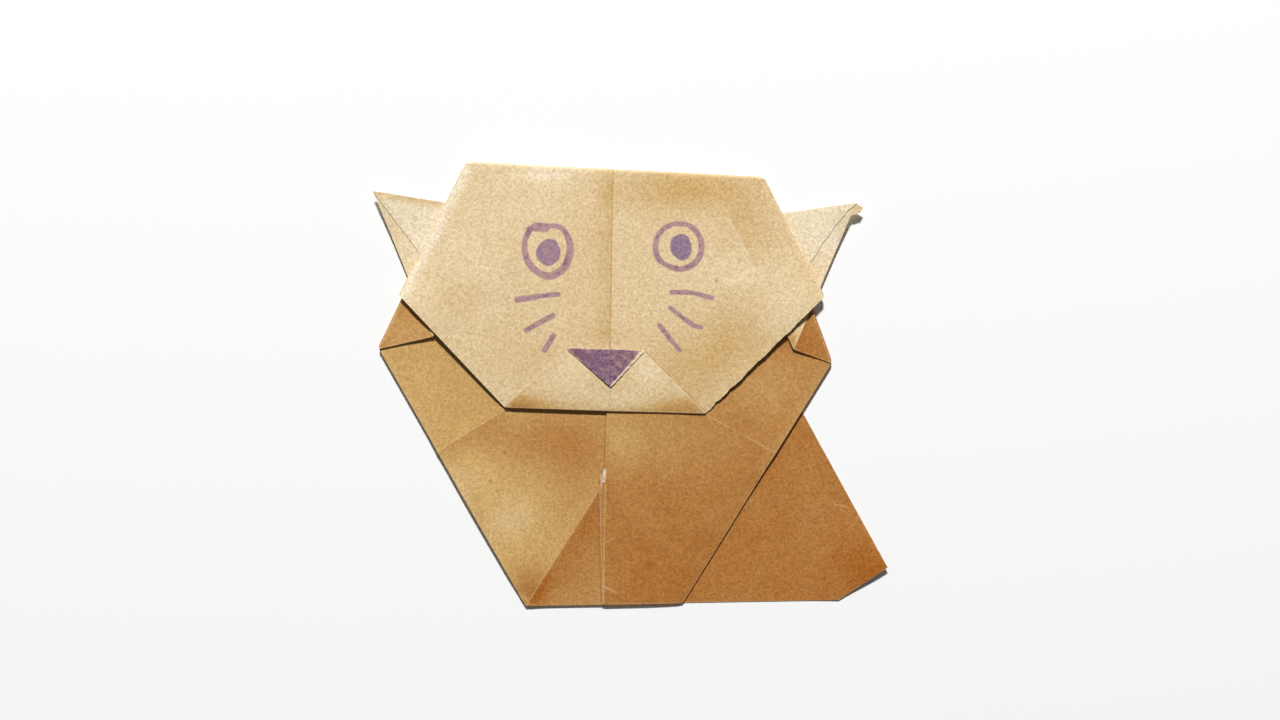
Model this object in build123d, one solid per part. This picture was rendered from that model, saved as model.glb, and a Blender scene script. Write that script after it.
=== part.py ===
from build123d import *
import os

# A cat folded from one sheet of kraft paper, lying on its back with its face up.
# Millimetres. +Z points out of the face, +Y from the feet to the ears, +X to the tail.
# Left and right are those of someone who looks at the face.

# Driving dimensions
SHEET_WIDTH = 210.0
PAPER = 0.2
LAYER_GAP = 0.05
FOLD_DEPTH = 0.6
FOLD_END = 0.5
FLAP_OVERLAP = 3.0

# Each layer stands off the next by this much more for every unit of length below the crown fold.
SPREAD_SHARE = 0.0012

# Corners of the folded outline, as shares of the sheet's width from the middle of the feet.
CORNER_SHARES = {
    "crown_left": (-0.206, 0.661),
    "crown_right": (0.239, 0.638),
    "cheek_left": (-0.305, 0.463),
    "cheek_right": (0.327, 0.460),
    "chin_left": (-0.149, 0.297),
    "chin_right": (0.152, 0.288),
    "nose_left": (-0.055, 0.384),
    "nose_right": (0.060, 0.380),
    "nose_tip": (0.0095, 0.327),
    "ear_left": (-0.345, 0.619),
    "ear_right": (0.377, 0.601),
    "ear_hem_left": (-0.257, 0.402),
    "ear_hem_right": (0.284, 0.383),
    "shoulder_left": (-0.336, 0.384),
    "shoulder_right": (0.339, 0.363),
    "foot_left": (-0.117, 0.000),
    "foot_right": (0.117, 0.004),
    "foot_middle": (-0.003, 0.002),
    "chest_top": (0.0065, 0.457),
    "chest_left": (-0.257, 0.457),
    "chest_right": (0.269, 0.450),
    "tail_foot": (0.351, 0.008),
    "tail_tip": (0.424, 0.057),
    "rear_right": (0.229, 0.414),
    "rear_left": (-0.090, 0.414),
}

# The stack of layers, from the rear one under the body up to the nose.
LAYER_ORDER = (
    "rear",
    "back",
    "left_flap",
    "right_flap",
    "shoulder",
    "ear_back",
    "ear_front",
    "temple",
    "face",
    "muzzle",
    "nose",
)

PITCH = PAPER + LAYER_GAP
CORNERS = {
    name: Vector(across * SHEET_WIDTH, up * SHEET_WIDTH)
    for name, (across, up) in CORNER_SHARES.items()
}


def across_line(start, end):
    """Unit direction square to a line in the plane of the sheet."""
    along = (end - start).normalized()
    return Vector(-along.Y, along.X)


def mirror_over(point, start, end):
    """Where a point of the sheet lands when the sheet is folded flat over a line."""
    square = across_line(start, end)
    return point - square * (2 * (point - start).dot(square))


def meet(start, end, other_start, other_end):
    """Point where two lines of the sheet cross."""
    square = across_line(other_start, other_end)
    run = end - start
    share = (other_start - start).dot(square) / run.dot(square)
    return start + run * share


def crease_between(before, after):
    """Two points on the crease that carries one point of the sheet onto another."""
    middle = (before + after) / 2
    return middle, middle + across_line(before, after)


def underside(layer, point):
    """Height of a layer's underside: above the rear layer they fan out from the crown fold."""
    if layer == "rear":
        return 0
    steps = LAYER_ORDER.index(layer) - LAYER_ORDER.index("back")
    crown = CORNERS["crown_left"]
    square = across_line(CORNERS["crown_right"], crown)
    drop = abs((point - crown).dot(square))
    return PITCH + steps * (PITCH + SPREAD_SHARE * drop)


def panel(layer, *points):
    """One flat facet of the sheet, between its creases and raw edges."""
    rim = [Vector(point.X, point.Y, underside(layer, point)) for point in points]
    facet = Face(Wire.make_polygon(rim, close=True))
    return extrude(facet, amount=PAPER, dir=(0, 0, 1))


def fold(low, high, start, end, inside):
    """The rounded back of a pressed fold, which joins two layers along a crease."""
    along = (end - start).normalized()
    outward = across_line(start, end)
    if (inside - start).dot(outward) > 0:
        outward = -outward
    sections = []
    for point in (start + along * FOLD_END, end - along * FOLD_END):
        bottom = underside(low, point)
        top = underside(high, point) + PAPER
        middle = (bottom + top) / 2
        reach = min((top - bottom) / 2, FOLD_DEPTH)

        def place(out, height):
            return point + outward * out + Vector(0, 0, height)

        outer = ThreePointArc(place(0, bottom), place(reach, middle), place(0, top))
        inner = ThreePointArc(
            place(0, top - PAPER), place(reach - PAPER, middle), place(0, bottom + PAPER)
        )
        rim = Wire([outer, Line(outer @ 1, inner @ 0), inner, Line(inner @ 1, outer @ 0)])
        sections.append(Face(rim))
    return loft(sections, ruled=True)


def ear(crown, cheek, shoulder, corner, tip, hem):
    """A corner of the sheet crimped in between head and body, then folded out again as an ear."""
    tucked = mirror_over(corner, crown, cheek)
    crease = crease_between(tucked, tip)
    root = meet(crown, tucked, *crease)
    front_edge = meet(cheek, tucked, *crease)
    return [
        panel("temple", crown, cheek, front_edge, root),
        panel("ear_front", tip, root, front_edge),
        panel("ear_back", tip, root, hem),
        panel("shoulder", crown, shoulder, hem, root),
        fold("temple", "face", crown, cheek, root),
        fold("ear_front", "temple", root, front_edge, tip),
        fold("ear_back", "ear_front", tip, root, front_edge),
        fold("shoulder", "ear_back", root, hem, tip),
        fold("back", "shoulder", crown, shoulder, root),
    ]


def head():
    """The top corner of the sheet folded down as the face, its tip up as muzzle and down as nose."""
    c = CORNERS
    outline = ("crown_left", "cheek_left", "chin_left", "chin_right", "cheek_right", "crown_right")
    return [
        panel("face", *[c[name] for name in outline]),
        panel("muzzle", c["chin_left"], c["chin_right"], c["nose_right"], c["nose_left"]),
        panel("nose", c["nose_left"], c["nose_right"], c["nose_tip"]),
        fold("back", "face", c["crown_left"], c["crown_right"], c["chin_left"]),
        fold("face", "muzzle", c["chin_left"], c["chin_right"], c["nose_left"]),
        fold("muzzle", "nose", c["nose_left"], c["nose_right"], c["nose_tip"]),
    ]


def body():
    """The back, the two flaps that cross at the chest, and the rear layer with the tail."""
    c = CORNERS
    lap = Vector(FLAP_OVERLAP, 0)
    middle, top = c["foot_middle"], c["chest_top"]
    left, right = c["shoulder_left"], c["shoulder_right"]
    heel, toe = c["foot_left"], c["foot_right"]
    return [
        panel("back", c["crown_left"], left, heel, toe, right, c["crown_right"]),
        panel("left_flap", left, heel, middle + lap, top + lap, c["chest_left"]),
        panel("right_flap", right, toe, middle, top, c["chest_right"]),
        panel("rear", heel, c["tail_foot"], c["tail_tip"], c["rear_right"], c["rear_left"]),
        fold("back", "left_flap", left, heel, middle),
        fold("back", "right_flap", right, toe, middle),
        fold("rear", "left_flap", heel, middle, top),
        fold("rear", "right_flap", middle, toe, top),
    ]


def ears():
    """Both ears, from the two side corners of the sheet."""
    c = CORNERS
    crown = (c["crown_left"], c["crown_right"])
    pieces = []
    for side in ("left", "right"):
        cheek = c["cheek_" + side]
        corner = meet(*crown, c["chin_" + side], cheek)
        tip, hem = c["ear_" + side], c["ear_hem_" + side]
        pieces += ear(c["crown_" + side], cheek, c["shoulder_" + side], corner, tip, hem)
    return pieces


def folded_sheet():
    """The whole sheet as one solid, centred over its own footprint with its rear face at zero."""
    first, *rest = body() + head() + ears()
    sheet = first.fuse(*rest)
    middle = sheet.bounding_box().center()
    return sheet.moved(Location((-middle.X, -middle.Y, 0)))


os.makedirs("parts", exist_ok=True)
export_step(folded_sheet(), "parts/folded_sheet.step")
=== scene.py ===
"""A cat folded from one sheet of kraft paper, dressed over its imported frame."""
import math
from types import SimpleNamespace

import bmesh
import bpy
from bpy.props import FloatProperty, FloatVectorProperty, IntProperty, PointerProperty
from mathutils import Matrix, Vector, noise


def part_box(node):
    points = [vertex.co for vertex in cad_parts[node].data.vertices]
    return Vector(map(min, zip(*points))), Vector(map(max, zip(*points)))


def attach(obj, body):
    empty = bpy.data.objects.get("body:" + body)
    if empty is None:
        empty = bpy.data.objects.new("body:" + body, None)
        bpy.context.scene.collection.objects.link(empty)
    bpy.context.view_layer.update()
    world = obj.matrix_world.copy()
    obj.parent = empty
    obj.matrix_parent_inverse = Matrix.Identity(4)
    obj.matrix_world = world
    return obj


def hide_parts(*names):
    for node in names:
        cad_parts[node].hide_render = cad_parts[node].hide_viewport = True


bl_info = {
    "name": "Paper Cat",
    "version": (1, 0, 0),
    "blender": (4, 5, 0),
    "location": "View3D > Sidebar > Paper Cat",
    "description": "Folds a kraft paper cat over its frame and draws its face",
    "category": "Object",
}

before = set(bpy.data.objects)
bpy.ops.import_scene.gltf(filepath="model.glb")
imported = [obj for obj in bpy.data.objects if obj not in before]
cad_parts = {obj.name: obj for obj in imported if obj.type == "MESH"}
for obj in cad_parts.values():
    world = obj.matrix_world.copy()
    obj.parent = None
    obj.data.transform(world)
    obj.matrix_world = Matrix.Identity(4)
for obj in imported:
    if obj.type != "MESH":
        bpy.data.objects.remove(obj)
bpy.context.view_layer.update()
SHEET_LOW, SHEET_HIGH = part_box("folded_sheet")
MM = 0.001

# Corners of the folded outline, as shares of the sheet's width from the middle of the feet.
CORNER_SHARES = {
    "crown_left": (-0.206, 0.661),
    "crown_right": (0.239, 0.638),
    "cheek_left": (-0.305, 0.463),
    "cheek_right": (0.327, 0.460),
    "chin_left": (-0.149, 0.297),
    "chin_right": (0.152, 0.288),
    "nose_left": (-0.055, 0.384),
    "nose_right": (0.060, 0.380),
    "nose_tip": (0.0095, 0.327),
    "ear_left": (-0.345, 0.619),
    "ear_right": (0.377, 0.601),
    "ear_hem_left": (-0.257, 0.402),
    "ear_hem_right": (0.284, 0.383),
    "shoulder_left": (-0.336, 0.384),
    "shoulder_right": (0.339, 0.363),
    "foot_left": (-0.117, 0.000),
    "foot_right": (0.117, 0.004),
    "foot_middle": (-0.003, 0.002),
    "chest_top": (0.0065, 0.457),
    "chest_left": (-0.257, 0.457),
    "chest_right": (0.269, 0.450),
    "tail_foot": (0.351, 0.008),
    "tail_tip": (0.424, 0.057),
    "rear_right": (0.229, 0.414),
    "rear_left": (-0.090, 0.414),
}

# The stack of layers, from the rear one under the body up to the nose.
# Each has a tone from 0 for deep orange brown to 1 for pale tan. The paper is the same all through:
# the paler head is painted light and the deeper body is painted shade.
LAYER_TONES_WITH_PAINTED_LIGHT = {
    "rear": 0.11,
    "back": 0.16,
    "flap_left": 0.42,
    "flap_right": 0.15,
    "shoulder": 0.22,
    "ear_back": 0.90,
    "ear_front": 0.96,
    "temple": 0.70,
    "face": 0.78,
    "muzzle": 0.73,
    "nose": 0.80,
}
LAYERS = tuple(LAYER_TONES_WITH_PAINTED_LIGHT)

# The paper, and how its layers stand off each other and overlap, as in the frame.
PAPER = 0.2 * MM
PITCH = 0.25 * MM
SPREAD_SHARE = 0.0012
FLAP_OVERLAP = 3.0 * MM
FOOT_FOLD_REACH = 0.43 * MM

# How near a point counts as on a line, and how near a fold has to land to be joined.
ON_LINE = 0.002 * MM
JOIN_REACH = 0.05 * MM

# The slanting way along which a piece's vertices, edges and faces are sorted.
SORT_WAY = Vector((1.0, 0.618, 0.414))

# How worn raw edges and folds are, and the angle from which an edge is shaded as sharp.
RAW_EDGE_WEAR = 1.0
FOLD_WEAR = 0.7
SHARP_ANGLE = math.radians(50)

# The frame's box spans the sheet from the left ear's tip to the tail's tip, and down to the foot folds.
SPAN_SHARE = CORNER_SHARES["tail_tip"][0] - CORNER_SHARES["ear_left"][0]
SHEET_WIDTH = (SHEET_HIGH.x - SHEET_LOW.x) / SPAN_SHARE
FEET = Vector(
    (SHEET_LOW.x - CORNER_SHARES["ear_left"][0] * SHEET_WIDTH, SHEET_LOW.y + FOOT_FOLD_REACH)
)

# The blunt end of the right ear's rear layer, round from its hem to its tip.
EAR_NUB_SHARES = ((0.3685, 0.583), (0.3827, 0.5875), (0.3864, 0.5950))

# How far the right ear's front layer is torn back, along its raw edge from the head to the tip.
EAR_TEAR = (
    (0.12, 0.45 * MM),
    (0.22, 0.95 * MM),
    (0.30, 0.80 * MM),
    (0.40, 1.35 * MM),
    (0.47, 1.25 * MM),
    (0.56, 1.65 * MM),
    (0.64, 1.40 * MM),
    (0.74, 1.55 * MM),
    (0.82, 1.20 * MM),
    (0.91, 1.05 * MM),
)

# The right flap's inner edge has torn below this height and lies further left, in ragged waves.
TEAR_TOP_SHARE = 0.205
TEAR_FOOT_SHARE = 0.172
TEAR_SHIFT = 1.6 * MM
RAGGED_WAVE = 3.0 * MM
RAGGED_SHARE = 0.25

# Fray of a torn edge: new points along each edge, how many depths its ends ease over,
# and the length and weight of its waves.
FRAY_CUTS = 2
FRAY_EASE = 4
FRAY_WAVES = ((1.1 * MM, 0.6), (4.0 * MM, 0.8))

# Painted sheen and painted shade on a layer, as paler and deeper patches: middle across and up, half width,
# half height, and how much paler.
SHEEN_AND_SHADE_PATCHES = {
    "face": (
        (-0.085, 0.644, 0.045, 0.014, 0.18),
        (-0.110, 0.610, 0.110, 0.045, 0.05),
        (0.125, 0.622, 0.115, 0.034, -0.26),
        (-0.215, 0.530, 0.050, 0.060, 0.08),
        (-0.215, 0.465, 0.035, 0.024, -0.09),
        (-0.282, 0.460, 0.032, 0.036, 0.09),
        (0.190, 0.496, 0.060, 0.024, 0.11),
        (0.272, 0.438, 0.035, 0.036, 0.11),
        (0.210, 0.578, 0.040, 0.040, -0.07),
        (0.200, 0.395, 0.055, 0.055, -0.18),
        (0.140, 0.360, 0.055, 0.050, -0.15),
        (0.010, 0.402, 0.050, 0.014, -0.08),
        (-0.110, 0.375, 0.065, 0.045, -0.07),
        (-0.030, 0.500, 0.030, 0.100, -0.05),
    ),
    "muzzle": (
        (-0.128, 0.298, 0.034, 0.017, -0.44),
        (-0.085, 0.294, 0.055, 0.011, -0.20),
        (0.118, 0.293, 0.045, 0.018, -0.42),
        (0.060, 0.292, 0.050, 0.006, -0.15),
        (-0.050, 0.345, 0.030, 0.026, 0.11),
        (0.066, 0.350, 0.022, 0.024, 0.18),
        (0.010, 0.312, 0.045, 0.014, 0.10),
    ),
    "flap_left": (
        (-0.095, 0.248, 0.085, 0.042, -0.18),
        (-0.030, 0.215, 0.060, 0.075, -0.16),
        (-0.205, 0.200, 0.035, 0.045, 0.15),
        (-0.138, 0.132, 0.045, 0.050, 0.20),
        (-0.110, 0.025, 0.030, 0.034, -0.28),
        (-0.270, 0.320, 0.050, 0.050, 0.05),
    ),
    "flap_right": (
        (0.060, 0.255, 0.100, 0.045, 0.17),
        (0.020, 0.250, 0.030, 0.050, 0.15),
        (0.100, 0.050, 0.120, 0.070, -0.06),
        (0.245, 0.330, 0.065, 0.050, 0.18),
    ),
    "shoulder": (
        (-0.280, 0.400, 0.060, 0.060, 0.13),
        (0.280, 0.390, 0.060, 0.060, -0.16),
    ),
    "rear": (
        (0.400, 0.050, 0.055, 0.040, -0.10),
        (0.300, 0.170, 0.060, 0.090, 0.03),
    ),
    "ear_back": (
        (0.385, 0.595, 0.012, 0.012, -0.22),
        (0.278, 0.395, 0.015, 0.017, -0.60),
        (0.295, 0.425, 0.020, 0.020, -0.08),
        (0.340, 0.550, 0.025, 0.040, 0.08),
        (-0.257, 0.410, 0.020, 0.025, -0.35),
    ),
}

# Soft swells: middle across and up, half width and half height as shares, and the rise in mm.
EAR_TIP_SWELLS = (
    (-0.345, 0.619, 0.050, 0.050, 1.60),
    (0.377, 0.601, 0.050, 0.050, 1.50),
)
EAR_HEM_SWELLS = (
    (-0.257, 0.402, 0.035, 0.035, 0.60),
    (0.284, 0.383, 0.035, 0.035, 0.60),
)
SWELLS = {
    "face": (
        (-0.150, 0.520, 0.140, 0.120, 0.50),
        (0.170, 0.520, 0.130, 0.120, 0.45),
        (-0.285, 0.440, 0.055, 0.055, 0.75),
        (0.300, 0.450, 0.060, 0.060, 0.95),
    ),
    "muzzle": ((0.000, 0.340, 0.090, 0.045, 0.25),),
    "nose": ((0.003, 0.350, 0.045, 0.040, 0.20),),
    "flap_left": ((-0.170, 0.170, 0.090, 0.090, 0.35),),
    "flap_right": (
        (0.130, 0.160, 0.100, 0.100, 0.30),
        (-0.003, 0.186, 0.014, 0.030, 0.45),
        (0.085, 0.288, 0.085, 0.030, 0.45),
    ),
    "shoulder": EAR_HEM_SWELLS,
    "ear_front": EAR_TIP_SWELLS,
    "ear_back": EAR_TIP_SWELLS + EAR_HEM_SWELLS,
    "rear": ((0.424, 0.057, 0.065, 0.065, 1.60),),
}

# Pressed creases of a layer: both ends and reach as shares, and the rise in mm.
CREASES = {
    "face": (
        ((-0.149, 0.297), (0.152, 0.288), 0.0450, -0.95),
        ((0.013, 0.655), (0.009, 0.292), 0.0080, -0.25),
        ((0.187, 0.577), (0.221, 0.514), 0.0070, 0.20),
    ),
    "muzzle": (((0.009, 0.292), (0.008, 0.384), 0.0070, 0.15),),
    "nose": (((0.009, 0.384), (0.008, 0.325), 0.0060, 0.12),),
    "flap_left": (
        ((-0.149, 0.293), (-0.251, 0.230), 0.0080, 0.28),
        ((-0.117, 0.000), (-0.007, 0.173), 0.0080, 0.24),
    ),
    "flap_right": (
        ((0.155, 0.284), (0.254, 0.230), 0.0080, 0.18),
        ((-0.003, 0.030), (0.018, 0.019), 0.0060, 0.12),
        ((-0.003, 0.091), (0.016, 0.102), 0.0060, 0.12),
        ((0.000, 0.180), (-0.001, 0.004), 0.0050, 0.16),
        ((0.117, 0.004), (0.240, 0.200), 0.0300, -0.45),
    ),
}

# Where all the layers over the rear one spring up: both ends and reach as shares, and the rise in mm.
LIFTS = (
    ((-0.150, 0.058), (-0.336, 0.384), 0.045, 0.90),
    ((0.339, 0.363), (0.240, 0.200), 0.035, 0.45),
)

# Layers that lie on another one and swell with it.
CARRIERS = {"muzzle": "face", "nose": "muzzle"}

# Pen loops of the eyes: middle, then radii and the stroke's widths at even angles, anticlockwise from +X.
EYE_SHARES = (
    (
        (-0.0847, 0.5302),
        (0.0338, 0.0365, 0.0398, 0.0375, 0.0420, 0.0375, 0.0337, 0.0330, 0.0340, 0.0370, 0.0358, 0.0340),
        (0.0104, 0.0092, 0.0078, 0.0076, 0.0090, 0.0086, 0.0094, 0.0104, 0.0104, 0.0110, 0.0116, 0.0110),
    ),
    (
        (0.1111, 0.5366),
        (0.0344, 0.0350, 0.0352, 0.0342, 0.0347, 0.0345, 0.0342, 0.0348, 0.0326, 0.0334, 0.0340, 0.0348),
        (0.0084, 0.0080, 0.0082, 0.0078, 0.0076, 0.0082, 0.0088, 0.0084, 0.0078, 0.0084, 0.0090, 0.0088),
    ),
)

# Filled loops of the pupils: middle and radii in the same way.
PUPIL_SHARES = (
    (
        (-0.0838, 0.5289),
        (0.0184, 0.0186, 0.0210, 0.0201, 0.0179, 0.0174, 0.0184, 0.0186, 0.0195, 0.0207, 0.0201, 0.0194),
    ),
    (
        (0.1141, 0.5358),
        (0.0159, 0.0177, 0.0195, 0.0198, 0.0188, 0.0170, 0.0156, 0.0157, 0.0168, 0.0191, 0.0200, 0.0180),
    ),
)

# What a loop's curve counts as 1, longer than any radius.
LOOP_UNIT_SHARE = 0.06

# Pen strokes of the whiskers: both ends and the stroke's width.
WHISKER_SHARES = (
    ((-0.130, 0.457), (-0.100, 0.462), 0.0089),
    ((-0.100, 0.462), (-0.069, 0.466), 0.0075),
    ((-0.116, 0.412), (-0.077, 0.434), 0.0082),
    ((-0.089, 0.382), (-0.076, 0.403), 0.0084),
    ((0.101, 0.469), (0.132, 0.468), 0.0075),
    ((0.132, 0.468), (0.161, 0.460), 0.0068),
    ((0.099, 0.445), (0.118, 0.430), 0.0068),
    ((0.118, 0.430), (0.134, 0.419), 0.0078),
    ((0.134, 0.419), (0.145, 0.416), 0.0068),
    ((0.083, 0.419), (0.099, 0.398), 0.0078),
    ((0.099, 0.398), (0.113, 0.382), 0.0066),
)

# Second pass of the pen over the top of the left eye.
EYE_STROKE_SHARES = ((-0.113, 0.5635), (-0.086, 0.5625), 0.0075)

# Corners of the inked part of the nose.
NOSE_INK_SHARES = ((-0.0555, 0.3860), (0.0545, 0.3815), (0.0078, 0.3270))

# How full the pen lies, from 0 for one thin pass to 1 for a full one, and how patchy it is.
STROKE_BODY = 0.10
PUPIL_BODIES = (0.45, 0.68)
NOSE_BODY = 0.90
PEN_PATCHY = 2.6
PUPIL_PATCHY = 0.9

# Painted shade beside creases, where the bent paper turns from the light, and paler strips along folds where
# the strength is below 0: both ends as shares, reach, how much deeper the left side is, and the flap it is
# on.
CREASE_SHADES_AND_PALE_STRIPS = {
    "kraft_body": (
        ((-0.345, 0.400), (-0.117, 0.000), 2.5 * MM, -0.10),
        ((0.235, 0.190), (0.345, 0.372), 4.0 * MM, -0.14),
        ((-0.149, 0.293), (-0.251, 0.230), 10.0 * MM, 0.16, "left_flap"),
        ((0.010, 0.201), (-0.117, 0.000), 40.0 * MM, 0.50, "left_flap"),
    ),
    "kraft_ear_left": (((-0.242, 0.602), (-0.345, 0.619), 2.2 * MM, 0.26),),
    "kraft_face": (
        ((0.009, 0.384), (0.013, 0.655), 7.0 * MM, 0.17),
        ((0.182, 0.587), (0.226, 0.505), 15.0 * MM, 0.21),
        ((0.050, 0.390), (0.165, 0.275), 10.0 * MM, 0.12),
        ((-0.201, 0.671), (-0.310, 0.453), 4.5 * MM, -0.24),
    ),
}

# Marks on the paper, by the colour they take: both ends and width as shares, and strength.
PAPER_MARKS = {
    "kraft_body": {
        # Worn creases.
        "rubbed_colour": (
            ((-0.149, 0.293), (-0.251, 0.230), 0.0018, 0.50),
            ((0.155, 0.284), (0.254, 0.230), 0.0018, 0.45),
            ((-0.117, 0.000), (-0.007, 0.173), 0.0018, 0.50),
            ((-0.112, 0.003), (-0.121, 0.014), 0.0016, 0.50),
            ((-0.003, 0.030), (0.018, 0.019), 0.0020, 0.60),
            ((-0.003, 0.091), (0.016, 0.102), 0.0016, 0.40),
            ((0.002, 0.180), (0.001, 0.140), 0.0018, 0.60),
            ((0.001, 0.140), (0.000, 0.090), 0.0014, 0.45),
            ((0.000, 0.090), (-0.001, 0.004), 0.0018, 0.55),
            ((0.346, 0.151), (0.362, 0.148), 0.0018, 0.45),
            ((0.346, 0.151), (0.341, 0.156), 0.0014, 0.35),
            ((-0.1150, 0.2680), (-0.1120, 0.2672), 0.0020, 0.70),
        ),
        # Two dark specks of the paper, painted shadow beside the raw middle edge, and a dark rim round its
        # torn spot.
        "shade_and_speck_colour": (
            ((-0.1505, 0.2310), (-0.1485, 0.2295), 0.0034, 0.90),
            ((-0.1716, 0.1876), (-0.1692, 0.1860), 0.0034, 0.90),
            ((0.0020, 0.292), (0.0002, 0.204), 0.0022, 0.85),
            ((-0.0096, 0.168), (-0.0044, 0.004), 0.0022, 0.85),
            ((-0.0020, 0.202), (-0.0052, 0.184), 0.0062, 0.85),
        ),
        # The torn spot itself.
        "fibre_colour": (
            ((0.0005, 0.202), (-0.0010, 0.187), 0.0052, 0.95),
            ((-0.0050, 0.196), (-0.0045, 0.180), 0.0022, 0.60),
        ),
    },
    # Painted shade along the fold at the top of each ear.
    "kraft_ear_left": {"shade_and_speck_colour": (((-0.240, 0.6025), (-0.343, 0.6195), 0.0026, 0.62),)},
    "kraft_ear_right": {"shade_and_speck_colour": (((0.270, 0.5880), (0.376, 0.6020), 0.0026, 0.55),)},
    "kraft_face": {
        # Painted shade in the middle crease, a dark speck of the paper, and a painted shadow line beside the
        # muzzle.
        "shade_and_speck_colour": (
            ((0.013, 0.655), (0.009, 0.384), 0.0016, 0.70),
            ((0.1672, 0.4862), (0.1680, 0.4850), 0.0036, 0.85),
            ((0.0625, 0.3785), (0.1530, 0.2885), 0.0020, 0.60),
        ),
        # The crease beside the right eye.
        "fibre_colour": (((0.187, 0.577), (0.221, 0.514), 0.0024, 0.45),),
    },
    # Painted shade in the middle crease.
    "kraft_muzzle": {"shade_and_speck_colour": (((0.009, 0.292), (0.009, 0.384), 0.0014, 0.35),)},
}

# Marks over the nose's ink: a thin spot, the fuller top edge, whose dark line is ink and also painted shadow
# of the fold, and the torn right edges of nose and muzzle.
NOSE_MARKS = {
    "warm_pen_colour": (((-0.047, 0.3815), (-0.022, 0.3720), 0.0130, 0.60),),
    "full_pen_colour": (((0.010, 0.3827), (0.055, 0.3808), 0.0022, 0.90),),
    "fibre_colour": (
        ((0.059, 0.378), (0.012, 0.330), 0.0030, 0.85),
        ((0.0605, 0.3785), (0.150, 0.289), 0.0022, 0.50),
    ),
}

# Grain of the paper: scale, detail and roughness of each noise, and what the flecks are made up of.
FLECK_NOISE = (1150, 3, 0.75)
CLOUD_NOISE = (95, 4, 0.6)
SHAKE_NOISE = (520, 2, 0.5)
CELL_SCALE = 1700
FLECK_WEIGHT = 0.7
CELL_WEIGHT = 0.16

# How soft drawn edges and shaded creases are, and how far drawn edges stray.
EDGE_SOFT = 0.35 * MM
SHADE_SOFT = 0.4 * MM
LINE_STRAY = 0.9 * MM
CORNER_STRAY = 1.0 * MM

# Where the middle and pale colours lie between the deepest tone and the palest.
MIDDLE_TONE = 0.5
PALE_TONE = 0.9

# How the grain spreads a value about a level: contrast and level.
WORN_COVER = (2.5, 0.7)
PEN_WARMTH = (3.0, 0.45)
PEN_COVER = (1.2, 0.92)
PAPER_ROUGHNESS = (0.25, 0.80)

# How quickly wear fades from an edge, the depth of the grain, and the paper's faint gloss.
WEAR_POWER = 6.0
GRAIN_DEPTH = 0.15 * MM
PAPER_GLOSS = 0.12

# The stage's floor, key light and camera.
FLOOR_REACH = 6.0
FLOOR_DROP = 0.05 * MM
FLOOR_ROUGHNESS = 0.9
KEY_PLACE = (-0.15, 3.0, 2.85)
KEY_SIZE = 0.45
CAMERA_PLACE = (0.00295, 0.00770)
SENSOR_WIDTH = 36
CLIP_START = 0.01


def on_sheet(share):
    """A point of the folded sheet in the frame, from its shares of the sheet's width."""
    return FEET + Vector(share) * SHEET_WIDTH


CORNERS = {name: on_sheet(share) for name, share in CORNER_SHARES.items()}


def across_line(start, end):
    """Unit direction square to a line in the plane of the sheet."""
    along = (end - start).normalized()
    return Vector((-along.y, along.x))


def mirror_over(point, start, end):
    """Where a point of the sheet lands when the sheet is folded flat over a line."""
    square = across_line(start, end)
    return point - square * (2 * (point - start).dot(square))


def meet(start, end, other_start, other_end):
    """Point where two lines of the sheet cross."""
    square = across_line(other_start, other_end)
    run = end - start
    return start + run * ((other_start - start).dot(square) / run.dot(square))


def crease_between(before, after):
    """Two points on the crease that carries one point of the sheet onto another."""
    middle = (before + after) / 2
    return middle, middle + across_line(before, after)


def line_distance(point, start, end, reach):
    """Distance of a point from a stretch of line, counted in its reach."""
    start, end = on_sheet(start), on_sheet(end)
    run = end - start
    share = min(max((point - start).dot(run) / run.length_squared, 0), 1)
    return (point - start - run * share).length / (reach * SHEET_WIDTH)


def patch_sum(point, patches):
    """What soft patches add up to at a point, each full in its middle and falling to 0 outside it."""
    total = 0.0
    for across, up, half_width, half_height, amount in patches:
        middle = on_sheet((across, up))
        beside = (point.x - middle.x) / (half_width * SHEET_WIDTH)
        above = (point.y - middle.y) / (half_height * SHEET_WIDTH)
        total += amount * math.exp(-(beside * beside + above * above))
    return total


def flat_height(layer, point):
    """Height of a layer's middle: above the rear layer they fan out from the crown fold."""
    number = LAYERS.index(layer) - 1
    if number < 0:
        return PAPER / 2
    crown = CORNERS["crown_left"]
    drop = abs((point - crown).dot(across_line(CORNERS["crown_right"], crown)))
    return PAPER / 2 + PITCH + number * (PITCH + SPREAD_SHARE * drop)


def swell(layer, point):
    """How far a layer's soft swells and pressed creases lift a point, in mm."""
    rise = patch_sum(point, SWELLS.get(layer, ()))
    for start, end, reach, crest in CREASES.get(layer, ()):
        rise += crest * math.exp(-line_distance(point, start, end, reach))
    if layer in CARRIERS:
        rise += swell(CARRIERS[layer], point)
    return rise


def lift(layer, point):
    """How far a point springs up with all the layers over the rear one, in mm."""
    if layer == "rear":
        return 0.0
    rise = 0.0
    for start, end, reach, crest in LIFTS:
        away = line_distance(point, start, end, reach)
        rise += crest * math.exp(-away * away)
    return rise


def height(layer, point):
    """Height of a layer's middle in the finished cat."""
    return flat_height(layer, point) + (swell(layer, point) + lift(layer, point)) * MM


def tone_and_painted_light(layer, point):
    """How pale a layer's paper is at a point, with its painted light and shade."""
    pale = LAYER_TONES_WITH_PAINTED_LIGHT[layer] + patch_sum(point, SHEEN_AND_SHADE_PATCHES.get(layer, ()))
    return min(max(pale, 0), 1)


def verts_among(items):
    """The vertices among what a bmesh operator gives back."""
    return [item for item in items if isinstance(item, bmesh.types.BMVert)]


def sort_key(item):
    """Where a vertex, edge or face comes in its piece, from its place alone, the same each run."""
    verts = [item] if isinstance(item, bmesh.types.BMVert) else item.verts
    return sum(vert.co.dot(SORT_WAY) for vert in verts)


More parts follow.
